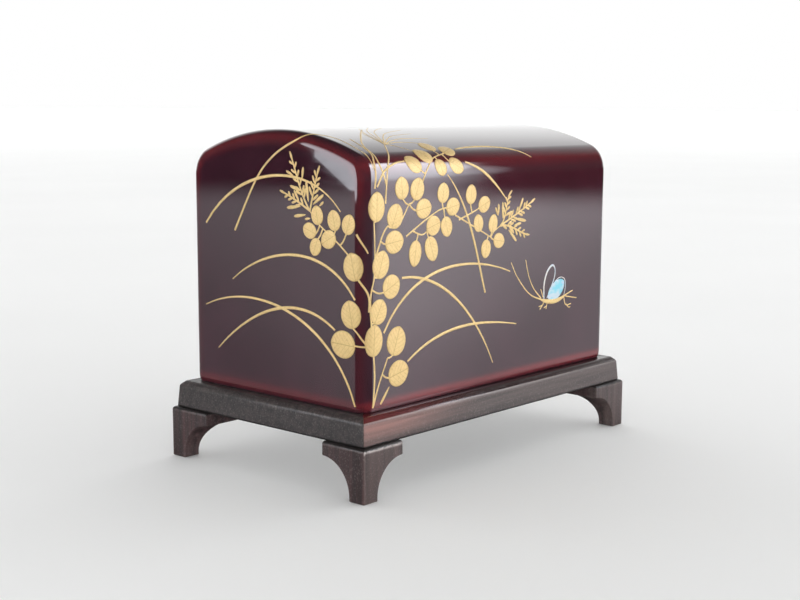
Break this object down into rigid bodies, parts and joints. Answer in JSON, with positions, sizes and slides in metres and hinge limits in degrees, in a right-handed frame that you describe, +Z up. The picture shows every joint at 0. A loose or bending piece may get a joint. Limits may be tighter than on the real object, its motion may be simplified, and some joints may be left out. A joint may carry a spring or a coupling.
{
  "type": "incense box",
  "caption": "Small lacquer incense box with a deep, vaulted, lift-off lid drawn with gold autumn grasses, on a dark hardwood stand with bracket feet.",
  "frame": {"origin": "on the ground, under the middle of the stand's feet", "axes": "+X along the long sides, -Y out of the front long side, +Z up"},
  "size_m": [0.0966, 0.0606, 0.0756],
  "materials": {
    "lacquer": "high gloss, clear brown lacquer over red",
    "inner_lacquer": "semi-gloss dark lacquer",
    "hardwood": "rubbed, satin, dark red-brown with fine pores",
    "gold_drawing": "fine gold powder set in lacquer, satin",
    "shell": "iridescent blue-green shell, polished"
  },
  "bodies": {
    "root": {"domed_lid": "lacquer", "box_body": "inner_lacquer", "stand_board": "hardwood", "foot_front_left": "hardwood", "foot_front_right": "hardwood", "foot_back_left": "hardwood", "foot_back_right": "hardwood"}
  },
  "joints": []
}
